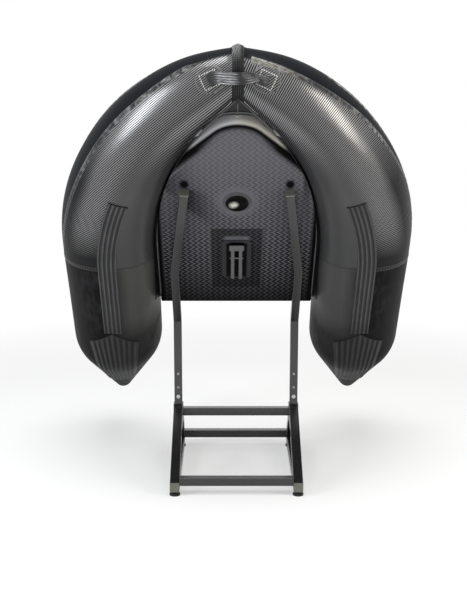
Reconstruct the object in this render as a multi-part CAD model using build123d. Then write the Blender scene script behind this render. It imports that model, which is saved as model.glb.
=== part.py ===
from build123d import *
from math import cos, radians, sin, sqrt
import os

# An inflatable float tube, bow up and underside out, leaning on the arms of a floor stand.
# The boat is drawn flat and then leaned as one. Its own axes are x across, y towards the bow, z out of
# the underside, and its origin is on the floor's underside beside the bend of the stand's arms.
# All sizes are in millimetres.

os.makedirs("parts", exist_ok=True)

clearance = 0.3

# Lean of the boat
lean = 40.0

# Air tubes: the axis of the right one runs from the tail as a line and three arcs to the centre line
tube_depth = 70.0
tail_x = 432.0
tail_y = -150.0
quarter_x = 419.8
quarter_y = 350.0
shoulder_radius = 934.0
shoulder_turn = 26.2
cheek_radius = 694.0
cheek_turn = 27.6
nose_turn = 6.8
tail_tube_radius = 160.0
quarter_tube_radius = 158.0
mid_tube_radius = 150.0
shoulder_tube_radius = 132.0
cheek_tube_radius = 115.0
bow_tube_radius = 90.0
nose_tube_radius = 62.0

# Tail cones and the slanted seam where the plain tails start
cone_start = 10.0
cone_shoulder_radius = 210.0
cone_angle = 22.8
cone_nose_radius = 34.0
seam_y = 272.0
seam_slant = 30.0

# Floor and the web in front of it
floor_thickness = 85.0
floor_stern_y = 80.0
floor_half_width = 262.0
floor_bow_y = 912.0
floor_bow_radius = 108.0
floor_shoulder_radius = 120.0
floor_rim_radius = 36.0
floor_gap = 9.0
gusset_thickness = 4.0
gusset_depth = 30.0
gusset_half_width = 150.0

# Rubber strips along the tubes and ribbed guards on the cones
strip_base = 3.0
rib_height = 3.0
strip_width = 62.0
strip_stern_y = 20.0
strip_turn = 19.0
strip_ribs = 5
strip_rib_width = 6.0
guard_thickness = 3.0
guard_front_y = -60.0
guard_peak = 75.0
guard_back_y = -385.0
guard_half_front = 88.0
guard_half_back = 52.0
guard_rib_width = 9.0
guard_ribs = 9

# Handle across the bow: a webbing arch between two round patches, and the band over the bow seam
handle_y = 1082.0
handle_tilt = 58.0
patch_offset = 84.0
patch_tilt = 25.0
patch_radius = 39.0
patch_thickness = 3.0
strap_reach = 92.0
strap_sink = 14.0
strap_rise = 24.0
strap_width = 34.0
strap_thickness = 3.0
band_width = 34.0
band_thickness = 2.0

# Skirt between each side of the floor and its tube
welt_depth = 24.0
welt_thickness = 3.0
welt_stern_y = 84.0
welt_bow_y = 850.0

# Filling valve on the deck side of each tube
tube_valve_y = 40.0
tube_valve_tilt = 30.0
tube_valve_radius = 30.0
tube_valve_flange = 3.0
tube_valve_cap_radius = 21.0
tube_valve_cap_height = 11.0

# Floor fittings
valve_y = 591.0
valve_radius = 36.0
valve_inner_radius = 25.0
valve_height = 6.0
fin_patch_width = 96.0
fin_patch_length = 190.0
fin_patch_y = 316.0
fin_patch_thickness = 3.0
fin_box_length = 170.0
rail_width = 11.0
rail_height = 14.0
rail_gap = 15.0
fin_head_width = 48.0
fin_head_length = 26.0

# Stand
corner = 2.5
post_size = 28.0
post_spacing = 412.0
post_foot = 150.0
bend_height = 535.0
post_back = 338.0
arm_straight = 275.0
arm_length = 645.0
arm_tip_spacing = 326.0
cap_thickness = 5.0
collar_wall = 3.0
collar_top = 217.0
leg_size = 32.0
stand_depth = 480.0
bar_size = 28.0
bar_underside = 36.0
upper_bar_height = 173.0
pad_radius = 18.0
pad_height = 16.0
hole_radius = 4.5
hole_pitch = 50.0
top_hole_height = 328.0
bolt_height = 246.0
bolt_head_radius = 7.5
bolt_head_height = 5.0

parts = {}
half_spacing = post_spacing / 2
boat_seat = Location((0, post_back, bend_height), (90 + lean, 0, 0))


def both_sides(name, solid):
    parts[name + "_right"] = solid
    parts[name + "_left"] = mirror(solid, about=Plane.YZ)


# Axis of the right air tube
straight = Line((tail_x, tail_y), (quarter_x, quarter_y))
shoulder = JernArc(straight @ 1, straight % 1, shoulder_radius, shoulder_turn)
cheek = JernArc(shoulder @ 1, shoulder % 1, cheek_radius, cheek_turn)
heading = cheek % 1
cheek_angle = abs(Vector(0, 1, 0).get_angle(heading))
nose_radius = (cheek @ 1).X / (cos(radians(cheek_angle)) - cos(radians(cheek_angle + nose_turn)))
nose = JernArc(cheek @ 1, heading, nose_radius, nose_turn)

# Stations of the tube: curve, place along it, tube radius
stations = [
    (straight, 0.0, tail_tube_radius),
    (straight, 0.5, (tail_tube_radius + quarter_tube_radius) / 2),
    (straight, 1.0, quarter_tube_radius),
    (shoulder, 0.5, mid_tube_radius),
    (shoulder, 1.0, shoulder_tube_radius),
    (cheek, 0.5, cheek_tube_radius),
    (cheek, 1.0, bow_tube_radius),
    (nose, 1.0, nose_tube_radius),
]


def tube_section(curve, place, radius):
    point = curve @ place
    direction = curve % place
    plane = Plane((point.X, point.Y, -tube_depth), x_dir=(0, 0, 1), z_dir=direction)
    return plane * Circle(radius)


# The tube runs on past the centre line, where the mirror plane trims it
def tube_shape(grow, from_middle=clearance / 2):
    sections = [tube_section(curve, place, radius + grow) for curve, place, radius in stations]
    body = loft(sections) + extrude(sections[-1], nose_tube_radius * 2)
    keep = Pos(from_middle, 0, 0) * Box(2000, 4000, 2000, align=(Align.MIN, Align.CENTER, Align.CENTER))
    return body & keep


# Plane of the tail cone's profile: its x points out of the underside, its y sternwards along the axis
sternwards = (straight % 0) * -1
cone_axis = Axis((tail_x, tail_y, -tube_depth), sternwards)
cone_plane = Plane(cone_axis.position, x_dir=(0, 0, 1), z_dir=Vector(0, 0, 1).cross(sternwards))


# Profile of the cone: a short straight, a rounded shoulder, the straight cone and a round nose
def cone_profile(grow):
    radius = tail_tube_radius + grow
    nose_end = cone_nose_radius + grow
    first = Line((radius, 0), (radius, cone_start))
    turn = JernArc(first @ 1, (0, 1), cone_shoulder_radius + grow, cone_angle)
    run = ((turn @ 1).X - nose_end * cos(radians(cone_angle))) / sin(radians(cone_angle))
    slope = Line(turn @ 1, turn @ 1 + (turn % 1) * run)
    cap = JernArc(slope @ 1, turn % 1, nose_end, 90 - cone_angle)
    axis_line = Polyline(cap @ 1, (0, 0), (radius, 0))
    return make_face([first, turn, slope, cap, *axis_line.edges()])


def cone_shape(grow):
    return revolve(cone_plane * cone_profile(grow), cone_axis)


tube = tube_shape(0)
cone = cone_shape(0)
seam = Plane((0, seam_y, -tube_depth), z_dir=(0, cos(radians(seam_slant)), -sin(radians(seam_slant))))
both_sides("tube", split(tube, bisect_by=seam, keep=Keep.TOP))
both_sides("tail", split(tube, bisect_by=seam, keep=Keep.BOTTOM) + cone)
spaced_tube = tube_shape(clearance)

# Floor: one thick air panel between the tubes, its bow a rounded gable, its sides and bow bulging half round
gable_y = floor_bow_y + floor_bow_radius * (sqrt(2) - 1)
shoulder_y = gable_y - floor_half_width


def floor_shape(grow):
    corners = Polyline(
        (-floor_half_width, floor_stern_y),
        (floor_half_width, floor_stern_y),
        (floor_half_width, shoulder_y),
        (0, gable_y),
        (-floor_half_width, shoulder_y),
        close=True,
    )
    outline = make_face(corners)
    points = outline.vertices().sort_by(Axis.Y)
    outline = fillet(points[-1:], floor_bow_radius)
    outline = fillet(outline.vertices().filter_by(lambda v: abs(v.Y - shoulder_y) < 1), floor_shoulder_radius)
    slab = extrude(offset(outline, grow), -floor_thickness)
    rims = slab.edges().filter_by(Axis.Z, reverse=True).filter_by(lambda e: e.center().Y > floor_stern_y + 1)
    slab = fillet(rims, floor_rim_radius)
    gap = tube_shape(floor_gap - grow)
    return slab - gap - mirror(gap, about=Plane.YZ)


parts["floor"] = floor_shape(0)
grown_floor = floor_shape(clearance)

# Band over the seam where the two tubes meet
def band_shape(grow):
    ring = tube_shape(clearance + band_thickness + grow, 0) - tube_shape(clearance, 0)
    half = ring & Box(band_width + 2 * grow, 4000, 2000)
    return half + mirror(half, about=Plane.YZ)


parts["bow_band"] = band_shape(0)

# Web between the tubes ahead of the floor
web_outline = Polyline(
    (-gusset_half_width, floor_bow_y - floor_bow_radius / 2),
    (gusset_half_width, floor_bow_y - floor_bow_radius / 2),
    (0, handle_y),
    close=True,
)
web = Pos(0, 0, -gusset_depth) * extrude(make_face(web_outline), gusset_thickness)
web = web - spaced_tube - mirror(spaced_tube, about=Plane.YZ) - grown_floor - band_shape(clearance)
parts["bow_gusset"] = web.solids().sort_by(SortBy.VOLUME)[-1]

# Welts: the skirt that bridges the gap between the floor's sides and the tubes
welt_lane = Pos(0, welt_stern_y, -welt_depth) * Box(
    post_spacing, welt_bow_y - welt_stern_y, welt_thickness, align=(Align.MIN, Align.MIN, Align.CENTER))
welt = welt_lane - spaced_tube - grown_floor
both_sides("floor_welt", welt.solids().sort_by(SortBy.VOLUME)[-1])


# Path parallel to the tube's axis, a distance outboard of it, as long as the rubber strip
def strip_path(outboard):
    side = Vector(straight % 1).rotate(Axis.Z, -90)
    share = (strip_stern_y - tail_y) / (quarter_y - tail_y)
    start = straight @ share + side * outboard
    end = straight @ 1 + side * outboard
    first = Line(start, end)
    return first + JernArc(end, straight % 1, shoulder_radius + outboard, strip_turn)


def strip_lane(outboard, width):
    return extrude(trace(strip_path(outboard), width), tail_tube_radius * 2)


rib_pitch = (strip_width - strip_rib_width) / (strip_ribs - 1)
strip = tube_shape(clearance + strip_base) & strip_lane(0, strip_width)
ribs = tube_shape(clearance + strip_base + rib_height)
for index in range(strip_ribs):
    outboard = (index - (strip_ribs - 1) / 2) * rib_pitch
    strip += ribs & strip_lane(outboard, strip_rib_width)
both_sides("keel_strip", strip - spaced_tube)


# Guard under each tail cone: a rubber pad with a peaked front edge, its ribs closing in on the nose
def guard_lane(front_x, back_x, half_front, half_back, peak):
    outline = Polyline(
        (tail_x + front_x - half_front, guard_front_y),
        (tail_x + front_x, guard_front_y + peak),
        (tail_x + front_x + half_front, guard_front_y),
        (tail_x + back_x + half_back, guard_back_y),
        (tail_x + back_x - half_back, guard_back_y),
        close=True,
    )
    return Pos(0, 0, -tube_depth) * extrude(make_face(outline), tail_tube_radius * 2)


def tail_skin(grow):
    stern = tube_shape(grow) & Pos(0, tail_y, 0) * Box(4000, 400, 4000)
    return stern + cone_shape(grow)


guard = tail_skin(clearance + guard_thickness) & guard_lane(0, 0, guard_half_front, guard_half_back, guard_peak)
rib_skin = tail_skin(clearance + guard_thickness + rib_height)
for index in range(guard_ribs):
    share = (index - (guard_ribs - 1) / 2) / guard_ribs * 2
    front_x = share * (guard_half_front - guard_rib_width / 2)
    back_x = share * (guard_half_back - guard_rib_width / 2)
    guard += rib_skin & guard_lane(front_x, back_x, guard_rib_width / 2, guard_rib_width / 3, 1.0)
guard = guard - tail_skin(clearance)
both_sides("tail_guard", guard)

# Handle: its plane holds the across direction and the way the bow's underside faces there
handle_out = Vector(0, cos(radians(handle_tilt)), sin(radians(handle_tilt)))
handle_plane = Plane((0, handle_y, 0), x_dir=(1, 0, 0), z_dir=Vector(1, 0, 0).cross(handle_out))
patch_plane = handle_plane * Pos(patch_offset, 0, 0) * Rot(0, 0, -patch_tilt) * Rot(-90, 0, 0)
patch_disc = patch_plane * Cylinder(patch_radius, patch_radius * 2)
both_sides("handle_patch", (tube_shape(clearance + patch_thickness) & patch_disc) - spaced_tube)
strap_arc = ThreePointArc((-strap_reach, -strap_sink), (0, strap_rise), (strap_reach, -strap_sink))
strap = handle_plane * Pos(0, 0, -strap_width / 2) * extrude(trace(strap_arc, strap_thickness), strap_width)
patch_top = tube_shape(clearance * 2 + patch_thickness)
strap = strap - patch_top - mirror(patch_top, about=Plane.YZ)
parts["handle_strap"] = strap.solids().sort_by(SortBy.VOLUME)[-1]

# Filling valves, turned from the top of each tube towards the cockpit
valve_x = tail_x + (quarter_x - tail_x) * (tube_valve_y - tail_y) / (quarter_y - tail_y)
valve_out = Vector(-sin(radians(tube_valve_tilt)), 0, -cos(radians(tube_valve_tilt)))
valve_plane = Plane((valve_x, tube_valve_y, -tube_depth), x_dir=(0, 1, 0), z_dir=valve_out)
flange = valve_plane * Cylinder(tube_valve_radius, tail_tube_radius * 2, align=(Align.CENTER, Align.CENTER, Align.MIN))
valve_cap = valve_plane * Cylinder(
    tube_valve_cap_radius, tail_tube_radius + tube_valve_cap_height, align=(Align.CENTER, Align.CENTER, Align.MIN))
both_sides("tube_valve", (flange & tube_shape(clearance + tube_valve_flange)) + valve_cap - spaced_tube)

# Floor fittings: round recess with its rim, then the fin box on its patch
rim = Pos(0, valve_y, clearance) * extrude(Circle(valve_radius) - Circle(valve_inner_radius), valve_height)
parts["floor_valve"] = chamfer(rim.edges().group_by(Axis.Z)[-1], 1.5) + Pos(0, valve_y, clearance) * Cylinder(
    valve_inner_radius, valve_height / 3, align=(Align.CENTER, Align.CENTER, Align.MIN))
patch = Pos(0, fin_patch_y, clearance) * extrude(
    RectangleRounded(fin_patch_width, fin_patch_length, 20), fin_patch_thickness)
parts["fin_patch"] = patch
rail_top = clearance + fin_patch_thickness
rail = Pos((rail_gap + rail_width) / 2, fin_patch_y, rail_top) * extrude(
    RectangleRounded(rail_width, fin_box_length, 4), rail_height)
head = Pos(0, fin_patch_y + fin_box_length / 2 - fin_head_length / 2, rail_top) * extrude(
    RectangleRounded(fin_head_width, fin_head_length, 5), rail_height)
parts["fin_box"] = rail + mirror(rail, about=Plane.YZ) + head

for name, solid in list(parts.items()):
    parts[name] = boat_seat * solid

# Arms: flat in the boat's frame, their upper faces on the floor's underside, converging past a kink
arm_offset = clearance + post_size / 2
arm_start = Vector(0, post_back, bend_height) + Vector(0, -cos(radians(lean)), -sin(radians(lean))) * arm_offset
mitre = Plane(arm_start, z_dir=Vector(0, -sin(radians(lean)), 1 + cos(radians(lean))))
arm_path = Polyline((half_spacing, -post_size), (half_spacing, arm_straight), (arm_tip_spacing / 2, arm_length))
arm = boat_seat * Pos(0, 0, clearance) * extrude(trace(arm_path, post_size), post_size)
arm = split(arm, bisect_by=mitre, keep=Keep.TOP)
long_edges = [edge for edge in arm.edges() if edge.length > arm_straight / 2]
both_sides("arm", fillet(long_edges, corner))

cap_turn = Vector(0, 1, 0).get_angle(arm_path % 1)
cap = Pos(arm_tip_spacing / 2, arm_length, arm_offset) * Rot(0, 0, cap_turn) * Box(
    post_size, cap_thickness, post_size, align=(Align.CENTER, Align.MIN, Align.CENTER))
both_sides("arm_cap", boat_seat * fillet(cap.edges().group_by(Axis.Y)[-1], 1.5))

# Posts: square tube standing in the collars, cross-drilled for the height bolt
post_y = arm_start.Y
post = Pos(half_spacing, post_y, post_foot) * extrude(
    RectangleRounded(post_size, post_size, corner), bend_height + post_size - post_foot)
post = split(post, bisect_by=mitre, keep=Keep.BOTTOM)
for height in (bolt_height, top_hole_height - hole_pitch, top_hole_height):
    post -= Pos(half_spacing, post_y, height) * Rot(90, 0, 0) * Cylinder(hole_radius, post_size * 2)
both_sides("post", post)

# Collar that each post slides into
collar_outer = post_size + 2 * (clearance + collar_wall)
collar = Box(collar_outer, collar_outer, collar_top - post_foot, align=(Align.CENTER, Align.CENTER, Align.MIN))
collar -= Box(post_size + 2 * clearance, post_size + 2 * clearance, collar_top * 2)
both_sides("collar", Pos(half_spacing, post_y, post_foot) * collar)

# Side frames: ground rail with a long front leg and a steep rear leg up to the collar
rail_top = pad_height + leg_size
rail_front = -leg_size / 2
rail_back = stand_depth + leg_size / 2
rail_length = rail_back - rail_front
rail = Pos(half_spacing, rail_back, pad_height + leg_size / 2) * Rot(90, 0, 0) * extrude(
    RectangleRounded(leg_size, leg_size, corner), rail_length)
both_sides("ground_rail", rail)


def leg(foot_y, collar_y):
    run = abs(collar_y - foot_y)
    rise = collar_top - rail_top
    slant = sqrt(run * run + rise * rise)
    inward = 1 if collar_y > foot_y else -1
    outline = Polyline(
        (foot_y, rail_top),
        (foot_y + inward * leg_size * slant / rise, rail_top),
        (collar_y, collar_top - leg_size * slant / run),
        (collar_y, collar_top),
        close=True,
    )
    plane = Plane((half_spacing - leg_size / 2, 0, 0), x_dir=(0, 1, 0), z_dir=(1, 0, 0))
    bar = extrude(plane * make_face(outline), leg_size)
    return fillet(bar.edges().sort_by(SortBy.LENGTH)[-4:], corner)


both_sides("front_leg", leg(rail_front, post_y - collar_outer / 2))
both_sides("rear_leg", leg(rail_back, post_y + collar_outer / 2))

# Cross bars between the side frames
bar_length = post_spacing - leg_size
upper_bar_length = post_spacing - collar_outer
for name, y, z, length in (
    ("front_bar", rail_front + bar_size / 2, bar_underside, bar_length),
    ("rear_bar", rail_back - bar_size / 2, bar_underside, bar_length),
    ("upper_bar", post_y, upper_bar_height, upper_bar_length),
):
    parts[name] = Pos(-length / 2, y, z + bar_size / 2) * Rot(0, 90, 0) * extrude(
        RectangleRounded(bar_size, bar_size, corner), length)

# Plugs in the rails' front ends and the round pads under the rails
plug = Pos(half_spacing, rail_front, pad_height + leg_size / 2) * Rot(90, 0, 0) * extrude(
    RectangleRounded(leg_size - 1, leg_size - 1, 3), cap_thickness)
both_sides("front_plug", plug)
back_plug = Pos(half_spacing, rail_back, pad_height + leg_size / 2) * Rot(-90, 0, 0) * extrude(
    RectangleRounded(leg_size - 1, leg_size - 1, 3), cap_thickness)
both_sides("rear_plug", back_plug)
pad_profile = make_face(
    Polyline((0, 0), (pad_radius, 0), (pad_radius, pad_height * 0.35), (pad_radius * 0.6, pad_height * 0.6),
             (pad_radius * 0.4, pad_height), (0, pad_height), close=True)
)
pad = revolve(Plane.XZ * pad_profile, Axis.Z)
both_sides("front_pad", Pos(half_spacing, rail_front + leg_size / 2, 0) * pad)
both_sides("rear_pad", Pos(half_spacing, rail_back - leg_size / 2, 0) * pad)

# Height bolts through posts
bolt = Pos(half_spacing, post_y, bolt_height) * Rot(90, 0, 0) * (
    Cylinder(hole_radius - 0.2, post_size)
    + Pos(0, 0, post_size / 2) * extrude(RegularPolygon(bolt_head_radius, 6), bolt_head_height)
    + Pos(0, 0, -post_size / 2) * extrude(RegularPolygon(bolt_head_radius, 6), -bolt_head_height)
)
both_sides("post_bolt", bolt)

# Origin under the middle of the whole part's bounding box
whole = Compound(children=[Compound(solid.solids()) for solid in parts.values()]).bounding_box()
home = Pos(-(whole.min.X + whole.max.X) / 2, -(whole.min.Y + whole.max.Y) / 2, -whole.min.Z)
for name, solid in parts.items():
    export_step(home * Compound(solid.solids()), f"parts/{name}.step")
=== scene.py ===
from math import atan2, cos, hypot, pi, radians, sin, sqrt, tan

import bpy
import numpy as np
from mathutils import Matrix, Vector


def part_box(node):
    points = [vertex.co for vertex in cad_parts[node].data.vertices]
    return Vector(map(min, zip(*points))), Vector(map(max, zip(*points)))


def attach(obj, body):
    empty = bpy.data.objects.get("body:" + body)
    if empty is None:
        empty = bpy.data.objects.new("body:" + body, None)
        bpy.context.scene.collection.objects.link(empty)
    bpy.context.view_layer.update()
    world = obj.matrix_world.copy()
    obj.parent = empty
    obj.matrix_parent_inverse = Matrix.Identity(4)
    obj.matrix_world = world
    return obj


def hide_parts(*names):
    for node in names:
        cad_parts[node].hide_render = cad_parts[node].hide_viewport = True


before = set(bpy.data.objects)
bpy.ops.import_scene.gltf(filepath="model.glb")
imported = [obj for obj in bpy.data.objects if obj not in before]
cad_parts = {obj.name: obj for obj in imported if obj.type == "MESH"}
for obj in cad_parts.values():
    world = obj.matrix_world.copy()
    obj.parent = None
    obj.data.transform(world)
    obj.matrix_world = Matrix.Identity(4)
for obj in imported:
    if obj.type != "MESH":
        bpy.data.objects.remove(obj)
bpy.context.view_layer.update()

# Air tubes. Each is a long bag of coated cloth with a printed carbon weave, glued from panels on a
# curved axis and pumped tight. The boat is drawn flat here, x across, y to the bow and z out of its
# underside, and seated on the arms of the stand, which lean it back.
hands = {"right": 1, "left": -1}
lean = radians(40)
arm_middle = 0.0143
post_low, post_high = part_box("post_right")
bend_y = (post_low.y + post_high.y) / 2 + arm_middle * cos(lean)
bend_height = 0.535
tube_depth = 0.070
tail_end = (0.432, -0.150)
quarter = (0.4198, 0.350)
shoulder_radius, shoulder_turn = 0.934, radians(26.2)
cheek_radius, cheek_turn = 0.694, radians(27.6)
nose_turn = radians(6.8)
tube_radii = np.array([0.160, 0.159, 0.158, 0.150, 0.132, 0.115, 0.090, 0.062])
seam_y, seam_slant = 0.272, radians(30)
tube_sides = 128
tube_rows = 120

straight_run = hypot(quarter[0] - tail_end[0], quarter[1] - tail_end[1])
straight_heading = atan2(quarter[1] - tail_end[1], quarter[0] - tail_end[0])
cheek_heading = straight_heading + shoulder_turn
bow_heading = cheek_heading + cheek_turn
bow_x = (
    quarter[0]
    + shoulder_radius * (sin(cheek_heading) - sin(straight_heading))
    + cheek_radius * (sin(bow_heading) - sin(cheek_heading))
)
nose_radius = bow_x / (sin(bow_heading) - sin(bow_heading + nose_turn))
axis_runs = [
    (straight_run, 0.0),
    (shoulder_radius * shoulder_turn, shoulder_radius),
    (cheek_radius * cheek_turn, cheek_radius),
    (nose_radius * nose_turn, nose_radius),
]
stops = np.cumsum([0.0] + [length for length, radius in axis_runs])
tube_stations = np.array([
    stops[0], stops[1] / 2, stops[1], (stops[1] + stops[2]) / 2,
    stops[2], (stops[2] + stops[3]) / 2, stops[3], stops[4],
])
tube_slopes = np.gradient(tube_radii, tube_stations)


def stack(*parts):
    """Points or marks from their three parts, spread to one shape."""
    return np.stack(np.broadcast_arrays(*parts), axis=-1)


def tube_axis(run):
    """Place and heading of the right tube's axis at a run from the start of its tail cone."""
    run = np.asarray(run, float)
    x, y = np.full(run.shape, tail_end[0]), np.full(run.shape, tail_end[1])
    heading, start = np.full(run.shape, straight_heading), straight_heading
    for first, (length, radius) in zip(stops, axis_runs + [(9.0, 0.0)]):
        here = np.clip(run - first, 0 if first > 0 else -9, length)
        if radius:
            x = x + radius * (np.sin(start + here / radius) - sin(start))
            y = y + radius * (cos(start) - np.cos(start + here / radius))
            heading = heading + here / radius
            start += length / radius
        else:
            x, y = x + here * cos(start), y + here * sin(start)
    return x, y, heading


def tube_radius(run):
    """Radius of a tube, eased from one station to the next."""
    run = np.asarray(run, float)
    k = np.clip(np.searchsorted(tube_stations, run) - 1, 0, len(tube_stations) - 2)
    width = tube_stations[k + 1] - tube_stations[k]
    t = np.clip((run - tube_stations[k]) / width, 0, 1)
    rise, ease = t * t * (3 - 2 * t), t * (1 - t)
    return (
        tube_radii[k] * (1 - rise) + tube_radii[k + 1] * rise
        + width * ease * ((1 - t) * tube_slopes[k] - t * tube_slopes[k + 1])
    )


def on_tube(run, angle, proud=0.0):
    """Point on the right tube's skin; angles turn from outboard over the underside to inboard."""
    x, y, heading = tube_axis(run)
    reach = tube_radius(run) + proud
    out = reach * np.cos(angle)
    return stack(
        x + out * np.sin(heading), y - out * np.cos(heading), reach * np.sin(angle) - tube_depth
    )


def run_where(test, low, high, angle, proud=0.0):
    """Run at which a rising test of the skin's point turns positive, for each angle."""
    low, high = np.full(np.shape(angle), low), np.full(np.shape(angle), high)
    for halving in range(40):
        middle = (low + high) / 2
        past = test(on_tube(middle, angle, proud)) > 0
        low, high = np.where(past, low, middle), np.where(past, middle, high)
    return (low + high) / 2


def seat(flat):
    """Points of the boat, drawn flat, at their place on the stand."""
    x, y, z = flat[..., 0], flat[..., 1], flat[..., 2]
    return stack(
        x, bend_y - y * sin(lean) - z * cos(lean), bend_height + y * cos(lean) - z * sin(lean)
    )


def make_skin(name, side, grid, finish, replaces=(), marks=None, ring=False, caps=False):
    """Piece from a grid of boat points, rows along it and columns round it; side -1 mirrors it.

    Its corners carry their flat place, named plan, and any marks that the finish reads.
    """
    grid = grid * np.array([side, 1, 1])
    rows, columns = grid.shape[:2]
    spans = columns if ring else columns - 1
    i, j = np.meshgrid(np.arange(rows - 1), np.arange(spans), indexing="ij")
    corners = [(i, j), (i + 1, j), (i + 1, j + 1), (i, j + 1)][::side]
    faces = stack(*[a * columns + b % columns for a, b in corners]).reshape(-1, 4).tolist()
    layers = {"plan": grid, **(marks or {})}
    spread = {}
    for label, values in layers.items():
        if values.shape[1] == columns and ring:
            values = np.concatenate([values, values[:, :1]], axis=1)
        spread[label] = np.stack([values[a, b] for a, b in corners], axis=2).reshape(-1, 3)
    if caps:
        for row, turn in ((0, side), (rows - 1, -side)):
            faces.append(list(range(row * columns, (row + 1) * columns))[::turn])
            for label, values in layers.items():
                spread[label] = np.concatenate([spread[label], values[row, :columns][::turn]])
    mesh = bpy.data.meshes.new(name)
    mesh.from_pydata(seat(grid).reshape(-1, 3).tolist(), [], faces)
    for label, values in spread.items():
        layer = mesh.attributes.new(label, "FLOAT_VECTOR", "CORNER")
        layer.data.foreach_set("vector", np.asarray(values, np.float32).ravel())
    mesh.polygons.foreach_set("use_smooth", [True] * len(mesh.polygons))
    mesh.materials.append(finish)
    made = bpy.data.objects.new(name, mesh)
    bpy.context.scene.collection.objects.link(made)
    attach(made, "root")
    if replaces:
        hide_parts(*replaces)
    return made


class Signal:
    """A shader socket that takes part in ordinary arithmetic."""

    def __init__(self, socket):
        self.socket = socket

    def __add__(self, other):
        return self.math("ADD", self, other)

    def __radd__(self, other):
        return self.math("ADD", other, self)

    def __sub__(self, other):
        return self.math("SUBTRACT", self, other)

    def __rsub__(self, other):
        return self.math("SUBTRACT", other, self)

    def __mul__(self, other):
        return self.math("MULTIPLY", self, other)

    def __rmul__(self, other):
        return self.math("MULTIPLY", other, self)

    def __truediv__(self, other):
        return self.math("DIVIDE", self, other)

    def math(self, operation, *values, clamp=False):
        node = self.socket.id_data.nodes.new("ShaderNodeMath")
        node.operation, node.use_clamp = operation, clamp
        for slot, value in zip(node.inputs, values):
            if isinstance(value, Signal):
                self.socket.id_data.links.new(value.socket, slot)
            else:
                slot.default_value = value
        return Signal(node.outputs[0])

    def clamped(self):
        return self.math("ADD", self, 0.0, clamp=True)

    def size(self):
        return self.math("ABSOLUTE", self)

    def larger(self, other):
        return self.math("MAXIMUM", self, other)

    def step(self, edge, soft):
        """0 well below the edge, 1 well above it."""
        return self.math("ADD", (self - edge) / soft, 0.5, clamp=True)

    def fall(self, edge, soft):
        """1 well below the edge, 0 well above it."""
        return 1.0 - self.step(edge, soft)

    def wave(self, pitch):
        """A sine that comes round once in each pitch."""
        return self.math("SINE", self * (2 * pi / pitch))


class Finish:
    """One material, or the world, and the calls that fill its node tree."""

    def __init__(self, name, holder=None):
        self.material = holder or bpy.data.materials.new(name)
        self.material.use_nodes = True
        self.tree = self.material.node_tree
        self.tree.nodes.clear()

    def node(self, kind, settings=None, inputs=None, output=0):
        made = self.tree.nodes.new("ShaderNode" + kind)
        for label, value in (settings or {}).items():
            setattr(made, label, value)
        for label, value in (inputs or {}).items():
            if isinstance(value, Signal):
                self.tree.links.new(value.socket, made.inputs[label])
            else:
                made.inputs[label].default_value = value
        return Signal(made.outputs[output]) if len(made.outputs) else made

    def mark(self, label):
        return self.node("Attribute", {"attribute_name": label}, output="Vector")

    def place(self):
        return self.node("NewGeometry", output="Position")

    def split(self, vector):
        return [self.node("SeparateXYZ", None, {0: vector}, k) for k in range(3)]

    def join(self, *parts):
        return self.node("CombineXYZ", None, dict(enumerate(parts)))

    def gap(self, place, spot):
        return self.node("VectorMath", {"operation": "DISTANCE"}, {0: place, 1: spot}, "Value")

    def noise(self, place, scale, detail=3.0, roughness=0.5):
        inputs = {"Vector": place, "Scale": scale, "Detail": detail, "Roughness": roughness}
        return self.node("TexNoise", None, inputs)

    def blend(self, share, first, second):
        first, second = [(*c, 1) if isinstance(c, tuple) else c for c in (first, second)]
        return self.node("Mix", {"data_type": "RGBA"}, {0: share, 6: first, 7: second}, 2)

    def bump(self, height, depth, strength):
        inputs = {"Height": height, "Distance": depth, "Strength": strength}
        return self.node("Bump", None, inputs)

    def finish(self, **sockets):
        names = [label.replace("_", " ").title().replace("Ior", "IOR") for label in sockets]
        shader = self.node("BsdfPrincipled", None, dict(zip(names, sockets.values())))
        self.node("OutputMaterial", None, {"Surface": shader})
        return self.material


weave_pitch, weave_turn, weave_dip = 0.0067, radians(47), 1.1
weave_drift = 0.006
fan_middle, fan_reach = (-0.378, -0.256), 1.45
brick_pitch, brick_turn = 0.0078, radians(33)
brick_share = {1: 0.08, -1: 0.14}
hem_pitch, hem_share = 0.0085, {1: 0.15, -1: 1.0}
tape_lines = {
    1: ([0.40, 0.702, 0.829, 0.929, 1.018, 1.123, 1.203, 1.277, 1.368],
        [-3, -1, 8, 11, 13, 19, 19, 19, 18]),
    -1: ([0.40, 0.640, 0.797, 0.868, 0.963, 1.045, 1.140, 1.219, 1.298],
         [16, 25, 27, 25, 24, 23, 22, 15, 6]),
}
cloth_black, cloth_grey = (0.0040, 0.0042, 0.0050), (0.044, 0.044, 0.047)
cloth_plain, cloth_side = (0.032, 0.032, 0.033), (0.0032, 0.0042, 0.0058)


def tape_angle(side, run):
    """Angle of the tape along the side band at a run, smoothed over its neighbours."""
    runs, degrees = tape_lines[side]
    turn = np.interp(run, runs, degrees)
    for offset in (-0.06, -0.03, 0.03, 0.06):
        turn = turn + np.interp(np.asarray(run) + offset, runs, degrees)
    return np.radians(turn / 5)


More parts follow.
